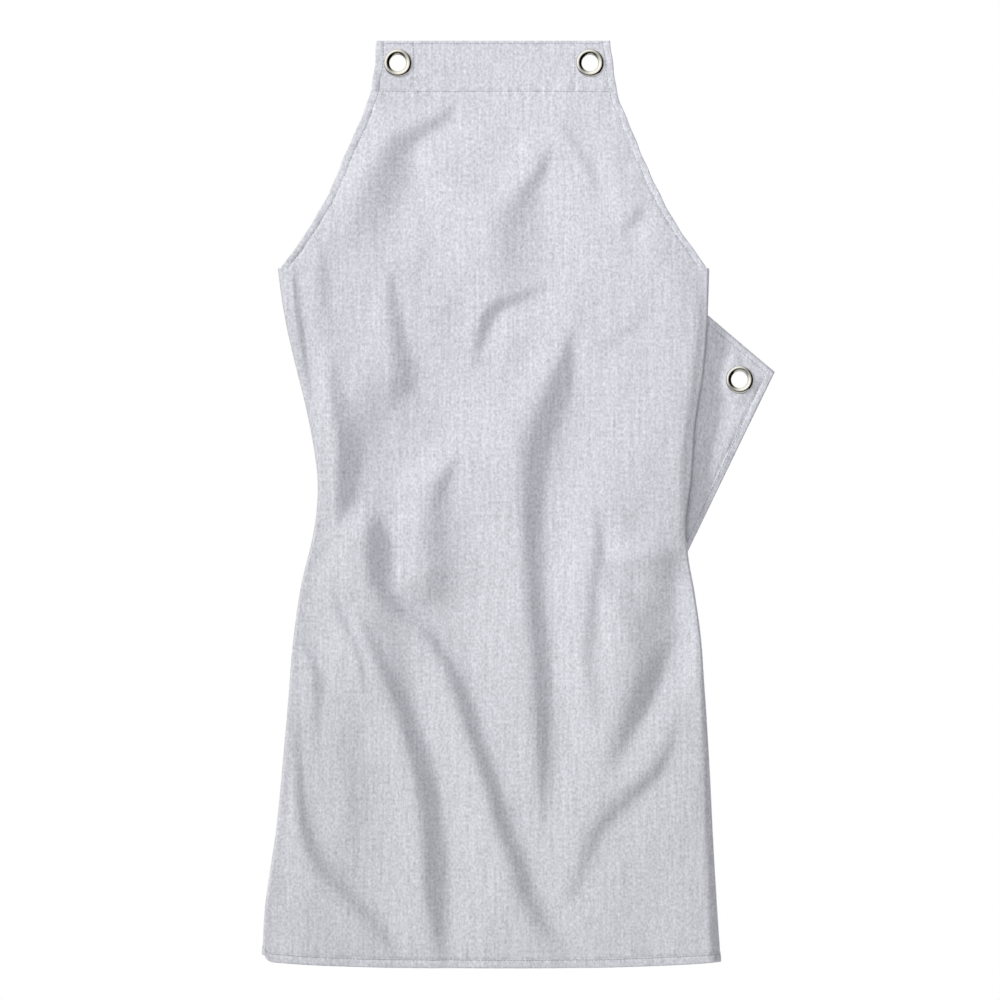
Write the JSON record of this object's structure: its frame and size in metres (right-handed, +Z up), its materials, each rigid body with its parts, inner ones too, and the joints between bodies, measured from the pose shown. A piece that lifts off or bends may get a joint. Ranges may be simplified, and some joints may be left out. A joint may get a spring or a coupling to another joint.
{
  "type": "bib apron",
  "caption": "Cloth bib apron with curved armholes, sides folded behind the front, hinged cloth wings and set metal eyelets for straps.",
  "frame": {"origin": "midway between the centres of the two top eyelets, on the front face of the cloth", "axes": "+Z up along the hanging apron, +Y from its front to its back, +X to the right seen from the front"},
  "size_m": [0.4946, 0.0162, 0.8945],
  "materials": {
    "cloth": "matte",
    "thread": "matte",
    "nickel": "polished"
  },
  "bodies": {
    "apron_body": {"armhole_hem_left": "cloth", "armhole_hem_right": "cloth", "armhole_seam_left": "thread", "armhole_seam_right": "thread", "bottom_hem": "cloth", "bottom_seam": "thread", "corner_patch_left": "cloth", "corner_patch_right": "cloth", "corner_patch_seam_left": "thread", "corner_patch_seam_right": "thread", "facing_seam": "thread", "front_panel": "cloth", "side_fold_left": "cloth", "side_fold_right": "cloth", "side_hem_left": "cloth", "side_hem_right": "cloth", "side_seam_left": "thread", "side_seam_right": "thread", "top_edge_seam": "thread", "top_facing": "cloth", "top_left_eyelet": "nickel", "top_left_washer": "nickel", "top_right_eyelet": "nickel", "top_right_washer": "nickel"},
    "left_wing": {"wing_left_eyelet": "nickel", "wing_left_washer": "nickel", "wing_panel_left": "cloth", "wing_patch_left": "cloth", "wing_side_hem_left": "cloth", "wing_side_seam_left": "thread", "wing_top_hem_left": "cloth", "wing_top_seam_left": "thread"},
    "right_wing": {"wing_panel_right": "cloth", "wing_patch_right": "cloth", "wing_right_eyelet": "nickel", "wing_right_washer": "nickel", "wing_side_hem_right": "cloth", "wing_side_seam_right": "thread", "wing_top_hem_right": "cloth", "wing_top_seam_right": "thread"}
  },
  "joints": [
    {"name": "right_wing_fold", "type": "hinge", "parent": "apron_body", "child": "right_wing", "pos_m": [0.186, 0.0102, -0.225], "axis": [0.2233, 0, 0.9748], "range_deg": [0, 178]},
    {"name": "left_wing_fold", "type": "hinge", "parent": "apron_body", "child": "left_wing", "pos_m": [-0.186, 0.0102, -0.225], "axis": [-0.2233, 0, 0.9748], "range_deg": [0, 178]}
  ]
}
